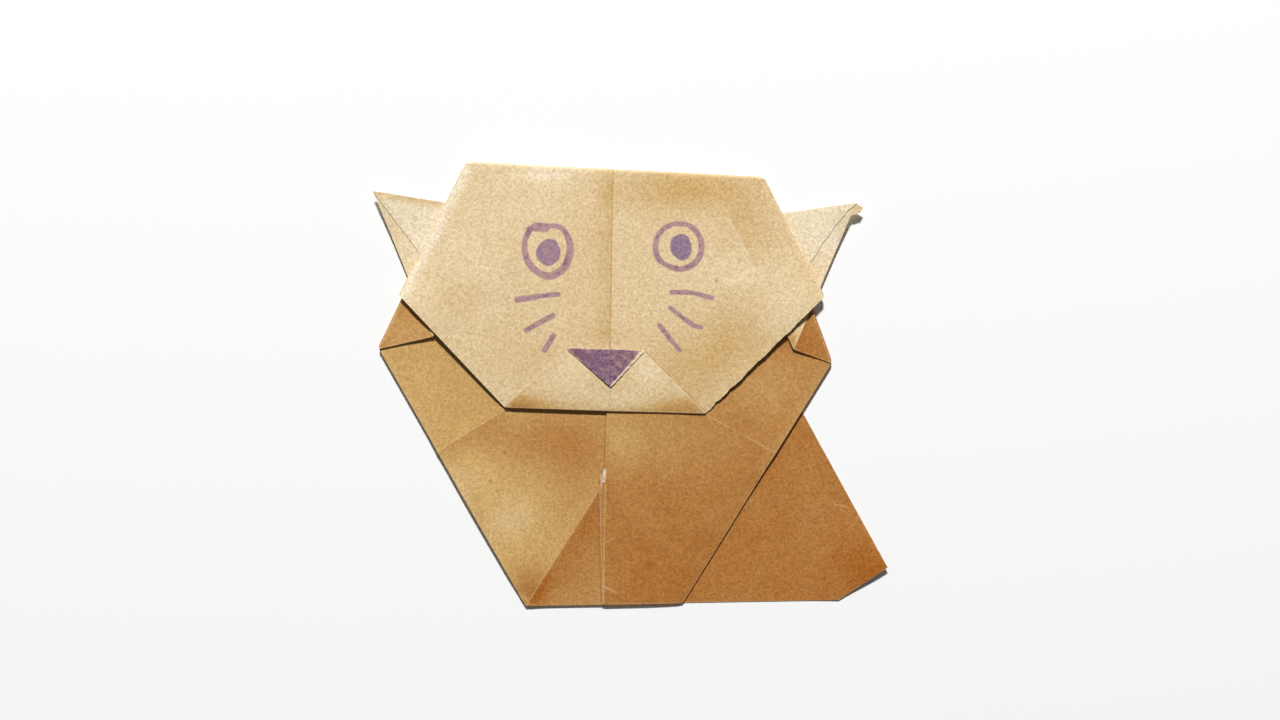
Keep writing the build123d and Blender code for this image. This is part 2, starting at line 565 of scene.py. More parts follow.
class FoldedMesh:
    """One piece of the folded sheet while its facets are cut, lifted and joined by folds."""

    def __init__(self, name):
        self.name = name
        self.bm = bmesh.new()
        # Each vertex carries the paper's tone together with its painted light and shade.
        self.tone_and_painted_light = self.bm.verts.layers.float.new("tone_and_painted_light")
        self.wear = self.bm.verts.layers.float.new("wear")
        self.left_flap = self.bm.verts.layers.float.new("left_flap")
        self.sheet = bpy.context.scene.paper_cat_sheet

    def facet(self, layer, *corners):
        """One facet between its creases and raw edges, cut along one grid that all the facets share."""
        bm = self.bm
        rim = [bm.verts.new((corner.x, corner.y, 0)) for corner in corners]
        face = bm.faces.new(rim)
        geometry = rim + list(face.edges) + [face]
        step = self.sheet.cut_step
        for axis in (0, 1):
            low = min(corner[axis] for corner in corners)
            high = max(corner[axis] for corner in corners)
            normal = Vector((1, 0, 0) if axis == 0 else (0, 1, 0))
            for number in range(math.ceil(low / step), math.floor(high / step) + 1):
                cut = bmesh.ops.bisect_plane(
                    bm, geom=geometry, dist=ON_LINE, plane_co=normal * (number * step), plane_no=normal
                )
                geometry = cut["geom"]
        points = verts_among(geometry)
        for vert in points:
            point = vert.co.xy
            # The layer's tone at this point, with its painted sheen and painted shade.
            vert[self.tone_and_painted_light] = tone_and_painted_light(layer, point)
            vert[self.wear] = RAW_EDGE_WEAR if vert.is_boundary else 0.0
            vert[self.left_flap] = 1.0 if layer == "flap_left" else 0.0
            vert.co.z = height(layer, point)
        return points

    def line_edges(self, points, start, end):
        """The edges of a facet that lie on a line."""
        square = across_line(start, end)
        on_line = {vert for vert in points if abs((vert.co.xy - start).dot(square)) < ON_LINE}
        edges = {edge for vert in on_line for edge in vert.link_edges}
        return [edge for edge in edges if all(vert in on_line for vert in edge.verts)]

    def fold(self, upper, lower, points, start, end, inside, onto=None):
        """Rolls the upper facet's edge round to the lower layer, and joins it to that layer's facet."""
        along = (end - start).normalized()
        outward = across_line(start, end)
        if (inside - start).dot(outward) > 0:
            outward = -outward
        run = (end - start).length
        edges = self.line_edges(points, start, end)
        if not edges:
            raise RuntimeError(f"{self.name}: no edge to fold from {upper} to {lower}")
        steps = self.sheet.fold_steps
        last = []
        for number in range(1, steps + 1):
            turn = math.pi * number / steps
            made = bmesh.ops.extrude_edge_only(self.bm, edges=edges)["geom"]
            last = verts_among(made)
            new = set(last)
            edges = [
                item
                for item in made
                if isinstance(item, bmesh.types.BMEdge) and all(vert in new for vert in item.verts)
            ]
            for vert in last:
                way = min(max((vert.co.xy - start).dot(along), 0), run)
                foot = start + along * way
                top, bottom = height(upper, foot), height(lower, foot)
                pinch = min(1, min(way, run - way) / self.sheet.fold_end)
                reach = min((top - bottom) / 2, self.sheet.fold_reach) * pinch
                spot = foot + outward * (reach * math.sin(turn))
                rise = (top + bottom) / 2 + (top - bottom) / 2 * math.cos(turn)
                vert.co = (spot.x, spot.y, rise)
                vert[self.wear] = FOLD_WEAR
        if onto is not None:
            landing = {vert for edge in self.line_edges(onto, start, end) for vert in edge.verts}
            joined = {}
            for vert in last:
                nearest = min(landing, key=lambda other: (other.co - vert.co).length_squared)
                if (nearest.co - vert.co).length > JOIN_REACH:
                    raise RuntimeError(f"{self.name}: the fold from {upper} misses {lower}")
                joined[vert] = nearest
            bmesh.ops.weld_verts(self.bm, targetmap=joined)

    def tear(self, points, start, end):
        """Frays a raw edge."""
        depth = self.sheet.tear_depth
        square = across_line(start, end)
        edges = self.line_edges(points, start, end)
        made = bmesh.ops.subdivide_edges(self.bm, edges=edges, cuts=FRAY_CUTS)
        frayed = {vert for edge in edges for vert in edge.verts} | set(verts_among(made["geom_inner"]))
        for vert in frayed:
            near_end = min((vert.co.xy - start).length, (vert.co.xy - end).length)
            ease = min(1, near_end / (FRAY_EASE * depth))
            wave = sum(
                weight * noise.noise(Vector((vert.co.x, vert.co.y, number)) / length)
                for number, (length, weight) in enumerate(FRAY_WAVES)
            )
            shift = square * (depth * ease * wave)
            vert.co.x += shift.x
            vert.co.y += shift.y
            vert[self.wear] = RAW_EDGE_WEAR

    def tear_open(self, points, foot, top):
        """Shifts the torn lower part of the right flap's inner edge."""
        square = across_line(foot, top)
        if square.x > 0:
            square = -square
        verts = {vert for edge in self.line_edges(points, foot, top) for vert in edge.verts}
        torn_top, torn_foot = on_sheet((0, TEAR_TOP_SHARE)).y, on_sheet((0, TEAR_FOOT_SHARE)).y
        for vert in verts:
            rising = (vert.co.y - foot.y) / (torn_foot - foot.y)
            falling = (torn_top - vert.co.y) / (torn_top - torn_foot)
            ragged = 1 + RAGGED_SHARE * noise.noise(Vector((vert.co.x, vert.co.y, 0)) / RAGGED_WAVE)
            shift = square * (TEAR_SHIFT * ragged * max(0, min(rising, falling, 1)))
            vert.co.x += shift.x
            vert.co.y += shift.y

    def finish(self, material):
        """Gives the piece its paper's thickness and makes it an object on the frame."""
        for items in (self.bm.verts, self.bm.edges, self.bm.faces):
            items.sort(key=sort_key)
        bmesh.ops.recalc_face_normals(self.bm, faces=self.bm.faces[:])
        mesh = bpy.data.meshes.new(self.name)
        self.bm.to_mesh(mesh)
        self.bm.free()
        piece = bpy.data.objects.new(self.name, mesh)
        bpy.context.scene.collection.objects.link(piece)
        mesh.materials.append(material)
        wall = piece.modifiers.new("paper", "SOLIDIFY")
        wall.thickness = PAPER
        wall.offset = 0
        wall.use_even_offset = True
        graph = bpy.context.evaluated_depsgraph_get()
        thick = bpy.data.meshes.new_from_object(piece.evaluated_get(graph), depsgraph=graph)
        piece.modifiers.clear()
        piece.data = thick
        bpy.data.meshes.remove(mesh)
        thick.name = self.name
        thick.polygons.foreach_set("use_smooth", [True] * len(thick.polygons))
        thick.set_sharp_from_angle(angle=SHARP_ANGLE)
        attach(piece, "root")
        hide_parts("folded_sheet")


def add_node(tree, kind, inputs=None, **settings):
    """Adds a node, with its settings, and its inputs set or linked."""
    node = tree.nodes.new(kind)
    for name, value in settings.items():
        setattr(node, name, value)
    for name, value in (inputs or {}).items():
        if isinstance(value, bpy.types.NodeSocket):
            tree.links.new(value, node.inputs[name])
        else:
            node.inputs[name].default_value = value
    return node


def value_step(tree, operation, first, second=0.0, clamp=False):
    """One step of arithmetic on a value or two."""
    node = add_node(tree, "ShaderNodeMath", {0: first, 1: second}, operation=operation, use_clamp=clamp)
    return node.outputs[0]


def vector_step(tree, operation, *values):
    """One step of vector arithmetic."""
    return add_node(tree, "ShaderNodeVectorMath", dict(enumerate(values)), operation=operation).outputs


def edge_mask(tree, inside, soft):
    """Mask of what lies inside an edge, half way up on the edge itself."""
    return value_step(tree, "ADD", value_step(tree, "DIVIDE", inside, soft), 0.5, clamp=True)


def new_group(name, vectors, values, outputs):
    """An empty shader node group that takes named vectors and values, and puts out named values."""
    tree = bpy.data.node_groups.new(name, "ShaderNodeTree")
    for socket in vectors:
        tree.interface.new_socket(socket, in_out="INPUT", socket_type="NodeSocketVector")
    for socket in values:
        tree.interface.new_socket(socket, in_out="INPUT", socket_type="NodeSocketFloat")
    for socket in outputs:
        tree.interface.new_socket(socket, in_out="OUTPUT", socket_type="NodeSocketFloat")
    return tree, tree.nodes.new("NodeGroupInput").outputs, tree.nodes.new("NodeGroupOutput").inputs


def flat_way(tree, given, start):
    """The way to a point of the paper from a group's start or middle, seen from above."""
    flat = vector_step(tree, "MULTIPLY", given["Vector"], (1, 1, 0))[0]
    return vector_step(tree, "SUBTRACT", flat, given[start])[0]


def grain_group():
    """Fine flecks and cloudy drifts of kraft paper, and the shake of what is drawn on it."""
    tree, given, out = new_group("paper_grain", ["Vector"], [], ["Fleck", "Cloud", "Shake"])

    def centred(value):
        return value_step(tree, "SUBTRACT", value, 0.5)

    def cloudy(scale, detail, rough):
        inputs = {"Vector": given["Vector"], "Scale": scale, "Detail": detail, "Roughness": rough}
        return centred(add_node(tree, "ShaderNodeTexNoise", inputs).outputs[0])

    cell_inputs = {"Vector": given["Vector"], "Scale": CELL_SCALE}
    cells = add_node(tree, "ShaderNodeTexVoronoi", cell_inputs).outputs["Color"]
    cell = centred(add_node(tree, "ShaderNodeSeparateColor", {0: cells}).outputs[0])
    soft = value_step(tree, "MULTIPLY", cloudy(*FLECK_NOISE), FLECK_WEIGHT)
    fleck = value_step(tree, "ADD", soft, value_step(tree, "MULTIPLY", cell, CELL_WEIGHT))
    tree.links.new(fleck, out["Fleck"])
    tree.links.new(cloudy(*CLOUD_NOISE), out["Cloud"])
    tree.links.new(cloudy(*SHAKE_NOISE), out["Shake"])
    return tree


def line_group():
    """Mask of a wavering line between two points, for pen strokes and worn creases."""
    tree, given, out = new_group(
        "line_mark", ["Vector", "Start", "Run"], ["Half Width", "Soft", "Waver"], ["Mask"]
    )
    away = flat_way(tree, given, "Start")
    ahead = vector_step(tree, "DOT_PRODUCT", away, given["Run"])["Value"]
    whole = vector_step(tree, "DOT_PRODUCT", given["Run"], given["Run"])["Value"]
    share = value_step(tree, "DIVIDE", ahead, whole, clamp=True)
    scaled = {0: given["Run"], "Scale": share}
    along = add_node(tree, "ShaderNodeVectorMath", scaled, operation="SCALE").outputs[0]
    gap = value_step(tree, "ADD", vector_step(tree, "DISTANCE", away, along)["Value"], given["Waver"])
    inside = value_step(tree, "SUBTRACT", given["Half Width"], gap)
    tree.links.new(edge_mask(tree, inside, given["Soft"]), out["Mask"])
    return tree


def shade_group():
    """Mask beside a crease, on its left hand side, where painted shade darkens the bent paper."""
    tree, given, out = new_group("crease_shade", ["Vector", "Start", "Run"], ["Reach", "Soft"], ["Mask"])
    away = flat_way(tree, given, "Start")
    whole = vector_step(tree, "LENGTH", given["Run"])["Value"]
    ahead = value_step(tree, "DIVIDE", vector_step(tree, "DOT_PRODUCT", away, given["Run"])["Value"], whole)
    turned = vector_step(tree, "CROSS_PRODUCT", given["Run"], away)[0]
    upward = add_node(tree, "ShaderNodeSeparateXYZ", {0: turned}).outputs[2]
    side = value_step(tree, "DIVIDE", upward, whole)
    edge = edge_mask(tree, side, given["Soft"])
    fade = value_step(tree, "SUBTRACT", 1.0, value_step(tree, "DIVIDE", side, given["Reach"]), clamp=True)
    near = value_step(tree, "DIVIDE", ahead, given["Reach"], clamp=True)
    left_over = value_step(tree, "SUBTRACT", whole, ahead)
    far = value_step(tree, "DIVIDE", left_over, given["Reach"], clamp=True)
    ends = value_step(tree, "SQRT", value_step(tree, "MULTIPLY", near, far))
    mask = value_step(tree, "MULTIPLY", value_step(tree, "MULTIPLY", edge, fade), ends)
    tree.links.new(mask, out["Mask"])
    return tree


def loop_group():
    """Angle round a point, from 0 to 1, and distance from it, for loops drawn by hand."""
    tree, given, out = new_group("loop_place", ["Vector", "Middle"], [], ["Angle", "Radius"])
    away = flat_way(tree, given, "Middle")
    parts = add_node(tree, "ShaderNodeSeparateXYZ", {0: away}).outputs
    turn = value_step(tree, "DIVIDE", value_step(tree, "ARCTAN2", parts[1], parts[0]), 2 * math.pi)
    tree.links.new(value_step(tree, "FRACT", turn), out["Angle"])
    tree.links.new(vector_step(tree, "LENGTH", away)["Value"], out["Radius"])
    return tree


def side_group():
    """Distance inside a straight edge, for filled corners."""
    tree, given, out = new_group("side_of_line", ["Vector", "Start", "Inward"], [], ["Distance"])
    away = vector_step(tree, "SUBTRACT", given["Vector"], given["Start"])[0]
    tree.links.new(vector_step(tree, "DOT_PRODUCT", away, given["Inward"])["Value"], out["Distance"])
    return tree


# The node groups that the materials share, each built when it is first placed.
SHARED_GROUPS = {
    "paper_grain": grain_group,
    "line_mark": line_group,
    "crease_shade": shade_group,
    "loop_place": loop_group,
    "side_of_line": side_group,
}


class PaperLook:
    """A kraft paper material while its tones with painted light and shade, worn creases, painted shade lines
    and pen marks are laid over each other.
    """

    def __init__(self, name):
        self.finish = bpy.context.scene.paper_cat_finish
        self.material = bpy.data.materials.new(name)
        self.material.use_nodes = True
        self.tree = self.material.node_tree
        self.tree.nodes.clear()
        self.place = add_node(self.tree, "ShaderNodeTexCoord").outputs["Object"]
        self.grain = self.group("paper_grain", {"Vector": self.place})
        self.stray = self.step("MULTIPLY", self.grain["Shake"], LINE_STRAY)
        self.broken = self.spread(self.grain["Shake"], *WORN_COVER, clamp=True)
        drift = self.step("MULTIPLY", self.grain["Cloud"], self.finish.cloud)
        speck = self.step("MULTIPLY", self.grain["Fleck"], self.finish.fleck_tone)
        # The tone starts from the mesh's tone with its painted light and shade, plus the grain's drifts and
        # flecks.
        self.tone_and_painted_light = self.step("ADD", self.attribute("tone_and_painted_light"), self.step("ADD", drift, speck))
        # Painted shade beside creases, and paler strips along some folds.
        for crease in CREASE_SHADES_AND_PALE_STRIPS.get(name, ()):
            self.shade(*crease)
        self.colour = self.paper_colour()
        self.mark(PAPER_MARKS[name])

    def attribute(self, name):
        """A value that the mesh carries."""
        return add_node(self.tree, "ShaderNodeAttribute", attribute_name=name).outputs["Fac"]

    def step(self, operation, first, second=0.0, clamp=False):
        """One step of arithmetic on a value or two."""
        return value_step(self.tree, operation, first, second, clamp)

    def spread(self, value, contrast, level, clamp=False):
        """A grain value stretched by a contrast and set about a level."""
        return self.step("ADD", self.step("MULTIPLY", value, contrast), level, clamp)

    def group(self, name, inputs):
        """Places one of the shared node groups."""
        shared = bpy.data.node_groups.get(name) or SHARED_GROUPS[name]()
        return add_node(self.tree, "ShaderNodeGroup", inputs, node_tree=shared).outputs

    def mix(self, share, *colours):
        """Blends one colour into another."""
        first, second = [
            colour if isinstance(colour, bpy.types.NodeSocket) else (*colour, 1) for colour in colours
        ]
        inputs = {0: share, 6: first, 7: second}
        return add_node(self.tree, "ShaderNodeMix", inputs, data_type="RGBA").outputs[2]

    def stretch(self, start, end):
        """What a node group has to know of a stretch of line on the sheet."""
        start, end = on_sheet(start).to_3d(), on_sheet(end).to_3d()
        return {"Vector": self.place, "Start": start, "Run": end - start}

    def shade(self, start, end, reach, strength, within=None):
        """Paints shade on the left of a crease, seen from its start, or only within a flap; a strength below
        0 makes that side paler instead.
        """
        inputs = self.stretch(start, end) | {"Reach": reach, "Soft": SHADE_SOFT}
        mask = self.group("crease_shade", inputs)["Mask"]
        if within:
            mask = self.step("MULTIPLY", mask, self.attribute(within))
        self.tone_and_painted_light = self.step("SUBTRACT", self.tone_and_painted_light, self.step("MULTIPLY", mask, strength))

    def paper_colour(self):
        """The sheet's colour: its tone with painted light and shade, its flecks and its worn edges."""
        finish = self.finish
        ramp = add_node(self.tree, "ShaderNodeValToRGB", {0: self.tone_and_painted_light})
        stops = ramp.color_ramp.elements
        stops[0].color = (*finish.deep_colour, 1)
        stops[1].color = (*finish.bleached_colour, 1)
        stops.new(MIDDLE_TONE).color = (*finish.middle_colour, 1)
        stops.new(PALE_TONE).color = (*finish.pale_colour, 1)
        light = self.spread(self.grain["Fleck"], finish.fleck, 1.0)
        flecked = add_node(self.tree, "ShaderNodeHueSaturation", {"Color": ramp.outputs[0], "Value": light})
        worn = self.step("MULTIPLY", self.step("POWER", self.attribute("wear"), WEAR_POWER), finish.edge_wear)
        return self.mix(worn, flecked.outputs[0], finish.fibre_colour)

    def line(self, start, end, width):
        """Mask of a line between two points of the sheet."""
        own = {"Half Width": width * SHEET_WIDTH / 2, "Soft": EDGE_SOFT, "Waver": self.stray}
        return self.group("line_mark", self.stretch(start, end) | own)["Mask"]

    def mark(self, table):
        """Draws worn creases, lines of shade, specks and torn spots, broken up as the grain takes them."""
        for colour, marks in table.items():
            for start, end, width, strength in marks:
                mask = self.step("MULTIPLY", self.line(start, end, width), self.broken)
                mask = self.step("MULTIPLY", mask, strength)
                self.colour = self.mix(mask, self.colour, getattr(self.finish, colour))

    def round_loop(self, place, shares):
        """A length that changes with the angle round a loop drawn by hand."""
        curve = add_node(self.tree, "ShaderNodeFloatCurve", {"Value": place["Angle"]})
        line = curve.mapping.curves[0]
        levels = [share / LOOP_UNIT_SHARE for share in (*shares, shares[0])]
        line.points[0].location = (0, levels[0])
        line.points[1].location = (1, levels[-1])
        for number, level in enumerate(levels[1:-1], 1):
            line.points.new(number / len(shares), level)
        curve.mapping.update()
        return self.step("MULTIPLY", curve.outputs[0], LOOP_UNIT_SHARE * SHEET_WIDTH)

    def outside(self, place, radii):
        """How far a point lies outside a loop drawn by hand."""
        out_by = self.step("SUBTRACT", place["Radius"], self.round_loop(place, radii))
        return self.step("ADD", out_by, self.stray)

    def loop_place(self, middle):
        """Angle and distance of a point round the middle of a loop."""
        return self.group("loop_place", {"Vector": self.place, "Middle": on_sheet(middle).to_3d()})

    def ring(self, middle, radii, widths):
        """Mask of a loop's stroke."""
        place = self.loop_place(middle)
        beside = self.step("ABSOLUTE", self.outside(place, radii))
        half = self.step("MULTIPLY", self.round_loop(place, widths), 0.5)
        return edge_mask(self.tree, self.step("SUBTRACT", half, beside), EDGE_SOFT)

    def spot(self, middle, radii):
        """Mask of a filled loop."""
        inside = self.step("SUBTRACT", 0.0, self.outside(self.loop_place(middle), radii))
        return edge_mask(self.tree, inside, EDGE_SOFT)

    def corner_fill(self, corners):
        """Mask of a filled triangle."""
        points = [on_sheet(corner) for corner in corners]
        middle = (points[0] + points[1] + points[2]) / 3
        inside = None
        for start, end in zip(points, points[1:] + points[:1]):
            inward = across_line(start, end)
            if (middle - start).dot(inward) < 0:
                inward = -inward
            inputs = {"Vector": self.place, "Start": start.to_3d(), "Inward": inward.to_3d()}
            side = self.group("side_of_line", inputs)["Distance"]
            inside = side if inside is None else self.step("MINIMUM", inside, side)
        stray = self.step("MULTIPLY", self.grain["Shake"], CORNER_STRAY)
        return edge_mask(self.tree, self.step("ADD", inside, stray), EDGE_SOFT)

    def ink(self, masks, body, full=None, patchy=PEN_PATCHY):
        """Felt pen ink, uneven as the paper drinks it. body is 0 for one thin pass and 1 for a full one."""
        total = masks[0]
        for mask in masks[1:]:
            total = self.step("MAXIMUM", total, mask)
        if full is None:
            warm = self.spread(self.grain["Cloud"], *PEN_WARMTH, clamp=True)
            full = self.mix(warm, self.finish.full_pen_colour, self.finish.warm_pen_colour)
        depth = self.spread(self.grain["Shake"], patchy, body)
        depth = self.step("ADD", depth, self.grain["Fleck"], clamp=True)
        pen = self.mix(depth, self.finish.thin_pen_colour, full)
        cover = self.spread(self.grain["Fleck"], *PEN_COVER, clamp=True)
        self.colour = self.mix(self.step("MULTIPLY", total, cover), self.colour, pen)

    def done(self):
        """Closes the material with its shader."""
        bump_inputs = {
            "Height": self.grain["Fleck"],
            "Strength": self.finish.grain_bump,
            "Distance": GRAIN_DEPTH,
        }
        shader_inputs = {
            "Base Color": self.colour,
            "Roughness": self.spread(self.grain["Fleck"], *PAPER_ROUGHNESS),
            "Normal": add_node(self.tree, "ShaderNodeBump", bump_inputs).outputs[0],
            "Specular IOR Level": PAPER_GLOSS,
        }
        shader = add_node(self.tree, "ShaderNodeBsdfPrincipled", shader_inputs)
        output = self.tree.nodes.new("ShaderNodeOutputMaterial")
        self.tree.links.new(shader.outputs[0], output.inputs[0])
        return self.material


class PaperCatSheet(bpy.types.PropertyGroup):
    """Sizes of the folded sheet that the frame leaves open."""

    cut_step: FloatProperty(
        name="Cut Step", description="Spacing of the cuts across each facet", default=1.5 * MM, unit="LENGTH"
    )
    fold_reach: FloatProperty(
        name="Fold Reach", description="How far a thick fold stands out", default=0.6 * MM, unit="LENGTH"
    )
    fold_end: FloatProperty(
        name="Fold End", description="Length over which a fold pinches shut", default=1.0 * MM, unit="LENGTH"
    )
    tear_depth: FloatProperty(
        name="Tear Depth", description="Depth of a torn edge's fray", default=0.4 * MM, unit="LENGTH"
    )
    fold_steps: IntProperty(name="Fold Steps", description="Steps round each fold", default=6, min=2)


class PaperCatFinish(bpy.types.PropertyGroup):
    """Colours and wear of the paper and the pen."""

    # The four colours below make the ramp of tones: its paler end also carries painted light, such as the
    # head's sheen, and its deeper end painted shade on the body.
    deep_colour: FloatVectorProperty(
        name="Deep Colour",
        description="Paper where it is deepest",
        default=(0.374, 0.118, 0.014),
        subtype="COLOR",
    )
    middle_colour: FloatVectorProperty(
        name="Middle Colour",
        description="Paper between its deepest and palest",
        default=(0.600, 0.378, 0.140),
        subtype="COLOR",
    )
    pale_colour: FloatVectorProperty(
        name="Pale Colour",
        description="Pale paper of the head",
        default=(0.800, 0.637, 0.400),
        subtype="COLOR",
    )
    bleached_colour: FloatVectorProperty(
        name="Bleached Colour",
        description="Paper where it is palest",
        default=(0.880, 0.755, 0.545),
        subtype="COLOR",
    )
    fibre_colour: FloatVectorProperty(
        name="Fibre Colour",
        description="Rubbed and torn paper",
        default=(0.88, 0.79, 0.62),
        subtype="COLOR",
    )
    rubbed_colour: FloatVectorProperty(
        name="Rubbed Colour",
        description="Creases of the body",
        default=(0.80, 0.60, 0.32),
        subtype="COLOR",
    )
    # Painted shade in creases and folds and painted shadow beside raised edges, and also the colour of the
    # paper's dark specks.
    shade_and_speck_colour: FloatVectorProperty(
        name="Shade Colour",
        description="Line that gathers in a pressed crease",
        default=(0.26, 0.12, 0.04),
        subtype="COLOR",
    )
    thin_pen_colour: FloatVectorProperty(
        name="Thin Pen Colour",
        description="One thin pass of the felt pen",
        default=(0.43, 0.25, 0.27),
        subtype="COLOR",
    )
    full_pen_colour: FloatVectorProperty(
        name="Full Pen Colour",
        description="Felt pen laid on full",
        default=(0.118, 0.063, 0.172),
        subtype="COLOR",
    )
    warm_pen_colour: FloatVectorProperty(
        name="Warm Pen Colour",
        description="Felt pen laid on full where the paper shows through",
        default=(0.205, 0.092, 0.140),
        subtype="COLOR",
    )
    cool_pen_colour: FloatVectorProperty(
        name="Cool Pen Colour",
        description="Felt pen laid on full in the pupils",
        default=(0.185, 0.125, 0.250),
        subtype="COLOR",
    )
    fleck: FloatProperty(
        name="Fleck", description="How far the fine flecks lighten and darken", default=1.1, subtype="FACTOR"
    )
    fleck_tone: FloatProperty(
        name="Fleck Tone", description="How far the flecks change the tone", default=0.25, subtype="FACTOR"
    )
    cloud: FloatProperty(
        name="Cloud", description="Strength of the cloudy drifts", default=0.16, subtype="FACTOR"
    )
    edge_wear: FloatProperty(
        name="Edge Wear", description="How pale folds and edges are rubbed", default=0.22, subtype="FACTOR"
    )
    grain_bump: FloatProperty(
        name="Grain Bump", description="Depth of the grain", default=0.30, subtype="FACTOR"
    )


class PaperCatStage(bpy.types.PropertyGroup):
    """Floor, light and camera."""

    floor_colour: FloatVectorProperty(
        name="Floor Colour", description="Pale floor", default=(0.95, 0.95, 0.95), subtype="COLOR"
    )
    key_power: FloatProperty(
        name="Key Power", description="Power of the key light", default=220.0, unit="POWER"
    )
    sky_strength: FloatProperty(
        name="Sky Strength", description="Strength of the soft light all round", default=0.11
    )
    camera_height: FloatProperty(
        name="Camera Height", description="Height of the camera over the floor", default=0.8, unit="LENGTH"
    )
    lens: FloatProperty(name="Lens", description="Focal length", default=71.5, subtype="DISTANCE_CAMERA")


def ear_points(side):
    """The points of one ear's crimp, from where the side corner of the sheet lands."""
    at = CORNERS
    crown, cheek, tip = at["crown_" + side], at["cheek_" + side], at["ear_" + side]
    corner = meet(at["crown_left"], at["crown_right"], at["chin_" + side], cheek)
    tucked = mirror_over(corner, crown, cheek)
    crease = crease_between(tucked, tip)
    return SimpleNamespace(
        crown=crown,
        cheek=cheek,
        shoulder=at["shoulder_" + side],
        tip=tip,
        root=meet(crown, tucked, *crease),
        front_edge=meet(cheek, tucked, *crease),
        hem=at["ear_hem_" + side],
    )


class PAPERCAT_OT_body(bpy.types.Operator):
    """Folds the back, the two flaps that cross at the chest, and the rear layer with the tail"""

    bl_idname = "papercat.body"
    bl_label = "Body"

    def execute(self, context):
        at = CORNERS
        lap = Vector((FLAP_OVERLAP, 0))
        middle, top = at["foot_middle"], at["chest_top"]
        left, right, heel, toe = at["shoulder_left"], at["shoulder_right"], at["foot_left"], at["foot_right"]
        folded = FoldedMesh("cat_body")
        back = folded.facet("back", at["crown_left"], left, heel, toe, right, at["crown_right"])
        flap_left = folded.facet("flap_left", left, heel, middle + lap, top + lap, at["chest_left"])
        flap_right = folded.facet("flap_right", right, toe, middle, top, at["chest_right"])
        folded.facet("rear", heel, at["tail_foot"], at["tail_tip"], at["rear_right"], at["rear_left"])
        folded.fold("flap_left", "back", flap_left, left, heel, middle, back)
        folded.fold("flap_right", "back", flap_right, right, toe, middle, back)
        folded.fold("flap_left", "rear", flap_left, heel, middle + lap, top)
        folded.fold("flap_right", "rear", flap_right, middle, toe, top)
        folded.tear_open(flap_right, middle, top)
        folded.finish(PaperLook("kraft_body").done())
        return {"FINISHED"}


class PAPERCAT_OT_ears(bpy.types.Operator):
    """Crimps the side corners of the sheet in between head and body, and folds them out as ears"""

    bl_idname = "papercat.ears"
    bl_label = "Ears"

    def execute(self, context):
        for side in ("left", "right"):
            ear = ear_points(side)
            nub, torn = [], []
            if side == "right":
                nub = [on_sheet(share) for share in EAR_NUB_SHARES]
                inward = across_line(ear.front_edge, ear.tip)
                torn = [ear.front_edge.lerp(ear.tip, way) + inward * bite for way, bite in EAR_TEAR]
            folded = FoldedMesh("cat_ear_" + side)
            temple = folded.facet("temple", ear.crown, ear.cheek, ear.front_edge, ear.root)
            front = folded.facet("ear_front", ear.tip, ear.root, ear.front_edge, *torn)
            rear = folded.facet("ear_back", ear.tip, ear.root, ear.hem, *nub)
            behind = folded.facet("shoulder", ear.crown, ear.shoulder, ear.hem, ear.root)
            folded.fold("temple", "ear_front", temple, ear.root, ear.front_edge, ear.tip, front)
            folded.fold("ear_front", "ear_back", front, ear.tip, ear.root, ear.front_edge, rear)
            folded.fold("ear_back", "shoulder", rear, ear.root, ear.hem, ear.tip, behind)
            folded.fold("shoulder", "back", behind, ear.crown, ear.shoulder, ear.root)
            folded.finish(PaperLook("kraft_ear_" + side).done())
        return {"FINISHED"}


class PAPERCAT_OT_head(bpy.types.Operator):
    """Folds the top corner of the sheet down as the face, and draws the eyes and whiskers"""

    bl_idname = "papercat.head"
    bl_label = "Head"

    def execute(self, context):
        at = CORNERS
        outline = ("crown_left", "cheek_left", "chin_left", "chin_right", "cheek_right", "crown_right")
        folded = FoldedMesh("cat_head")
        face = folded.facet("face", *[at[name] for name in outline])
        folded.fold("face", "back", face, at["crown_left"], at["crown_right"], at["chin_left"])
        for side in ("left", "right"):
            ear = ear_points(side)
            folded.fold("face", "temple", face, ear.crown, ear.cheek, ear.root)
        folded.tear(face, at["cheek_right"], at["chin_right"])
        look = PaperLook("kraft_face")
        strokes = [look.line(*stroke) for stroke in (*WHISKER_SHARES, EYE_STROKE_SHARES)]
        rings = [look.ring(*eye) for eye in EYE_SHARES]
        look.ink(strokes + rings, STROKE_BODY)
        for pupil, body in zip(PUPIL_SHARES, PUPIL_BODIES):
            look.ink([look.spot(*pupil)], body, look.finish.cool_pen_colour, PUPIL_PATCHY)
        folded.finish(look.done())
        return {"FINISHED"}


class PAPERCAT_OT_muzzle(bpy.types.Operator):
    """Folds the chin up as the muzzle and its tip down as the nose, and inks the nose"""

    bl_idname = "papercat.muzzle"
    bl_label = "Muzzle"

    def execute(self, context):
        at = CORNERS
        tip = at["nose_tip"]
        folded = FoldedMesh("cat_muzzle")
        muzzle = folded.facet("muzzle", at["chin_left"], at["chin_right"], at["nose_right"], at["nose_left"])
        nose = folded.facet("nose", at["nose_left"], at["nose_right"], tip)
        folded.fold("muzzle", "face", muzzle, at["chin_left"], at["chin_right"], at["nose_left"])
        folded.fold("nose", "muzzle", nose, at["nose_left"], at["nose_right"], tip, muzzle)
        folded.tear(nose, tip, at["nose_right"])
        look = PaperLook("kraft_muzzle")
        look.ink([look.corner_fill(NOSE_INK_SHARES)], NOSE_BODY)
        look.mark(NOSE_MARKS)
        folded.finish(look.done())
        return {"FINISHED"}


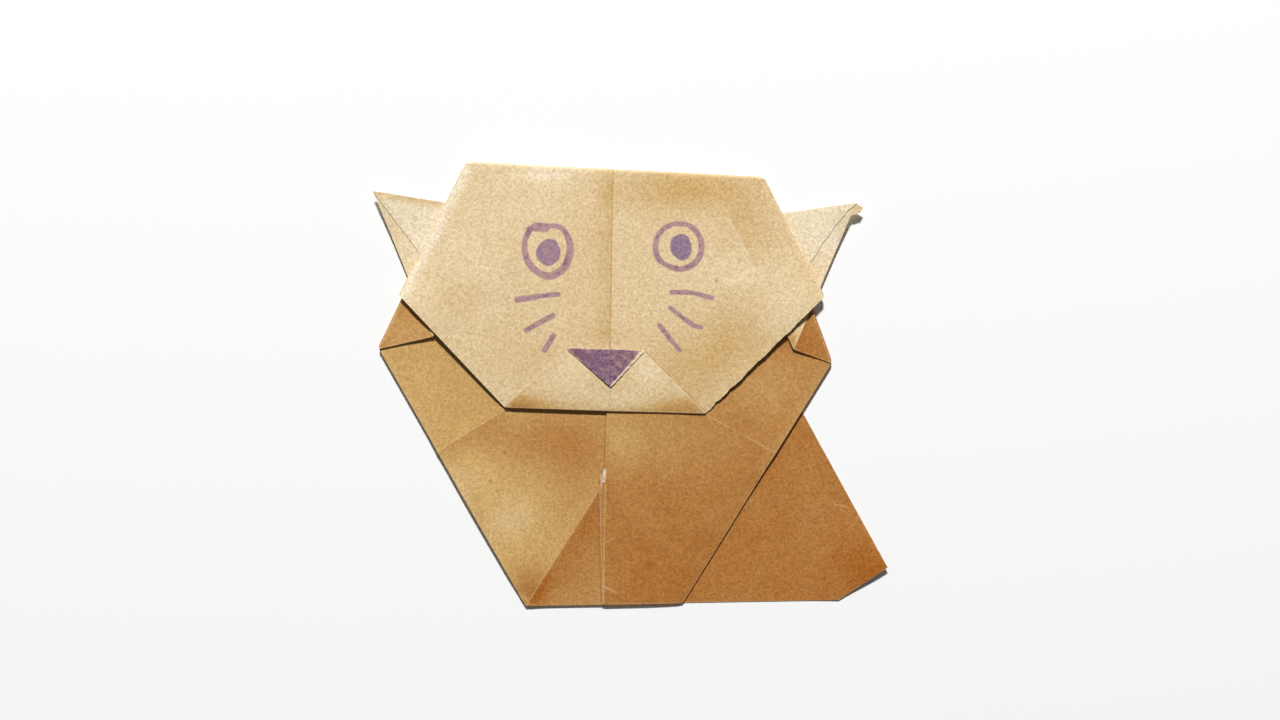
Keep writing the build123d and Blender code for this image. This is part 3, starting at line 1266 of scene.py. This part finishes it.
class PAPERCAT_OT_stage(bpy.types.Operator):
    """Sets the pale floor, the soft light and the camera over the cat"""

    bl_idname = "papercat.stage"
    bl_label = "Stage"

    def execute(self, context):
        scene = context.scene
        stage = scene.paper_cat_stage
        bm = bmesh.new()
        bmesh.ops.create_grid(bm, x_segments=1, y_segments=1, size=FLOOR_REACH)
        mesh = bpy.data.meshes.new("floor")
        bm.to_mesh(mesh)
        bm.free()
        mesh.transform(Matrix.Translation((0, 0, -FLOOR_DROP)))
        floor = bpy.data.objects.new("floor", mesh)
        scene.collection.objects.link(floor)
        material = bpy.data.materials.new("pale_floor")
        material.use_nodes = True
        shader = material.node_tree.nodes["Principled BSDF"]
        shader.inputs["Base Color"].default_value = (*stage.floor_colour, 1)
        shader.inputs["Roughness"].default_value = FLOOR_ROUGHNESS
        mesh.materials.append(material)

        world = bpy.data.worlds.new("studio")
        world.use_nodes = True
        sky = world.node_tree.nodes["Background"]
        sky.inputs["Color"].default_value = (1, 1, 1, 1)
        sky.inputs["Strength"].default_value = stage.sky_strength
        scene.world = world

        key = bpy.data.lights.new("key", "AREA")
        key.size = KEY_SIZE
        key.energy = stage.key_power
        lamp = bpy.data.objects.new("key", key)
        lamp.location = KEY_PLACE
        lamp.rotation_euler = (-Vector(KEY_PLACE)).to_track_quat("-Z", "Y").to_euler()
        scene.collection.objects.link(lamp)

        lens = bpy.data.cameras.new("camera")
        lens.sensor_width = SENSOR_WIDTH
        lens.lens = stage.lens
        lens.clip_start = CLIP_START
        camera = bpy.data.objects.new("camera", lens)
        camera.location = (*CAMERA_PLACE, stage.camera_height)
        scene.collection.objects.link(camera)
        scene.camera = camera
        scene.view_settings.view_transform = "Standard"
        return {"FINISHED"}


class PAPERCAT_PT_panel(bpy.types.Panel):
    """Lists the cat's pieces and their settings"""

    bl_idname = "PAPERCAT_PT_panel"
    bl_label = "Paper Cat"
    bl_space_type = "VIEW_3D"
    bl_region_type = "UI"
    bl_category = "Paper Cat"

    def draw(self, context):
        layout = self.layout
        for operator in OPERATORS:
            layout.operator(operator.bl_idname)
        for settings in SETTINGS:
            box = layout.box()
            group = getattr(context.scene, settings)
            for name in group.__annotations__:
                box.prop(group, name)


SETTINGS = {
    "paper_cat_sheet": PaperCatSheet,
    "paper_cat_finish": PaperCatFinish,
    "paper_cat_stage": PaperCatStage,
}
OPERATORS = (
    PAPERCAT_OT_stage,
    PAPERCAT_OT_body,
    PAPERCAT_OT_ears,
    PAPERCAT_OT_head,
    PAPERCAT_OT_muzzle,
)
CLASSES = (*SETTINGS.values(), *OPERATORS, PAPERCAT_PT_panel)


def register():
    for item in CLASSES:
        bpy.utils.register_class(item)
    for name, group in SETTINGS.items():
        setattr(bpy.types.Scene, name, PointerProperty(type=group))


def unregister():
    for name in SETTINGS:
        delattr(bpy.types.Scene, name)
    for item in reversed(CLASSES):
        bpy.utils.unregister_class(item)


def main():
    register()
    bpy.ops.papercat.stage()
    bpy.ops.papercat.body()
    bpy.ops.papercat.ears()
    bpy.ops.papercat.head()
    bpy.ops.papercat.muzzle()
    bpy.context.view_layer.update()


if __name__ == "__main__":
    main()
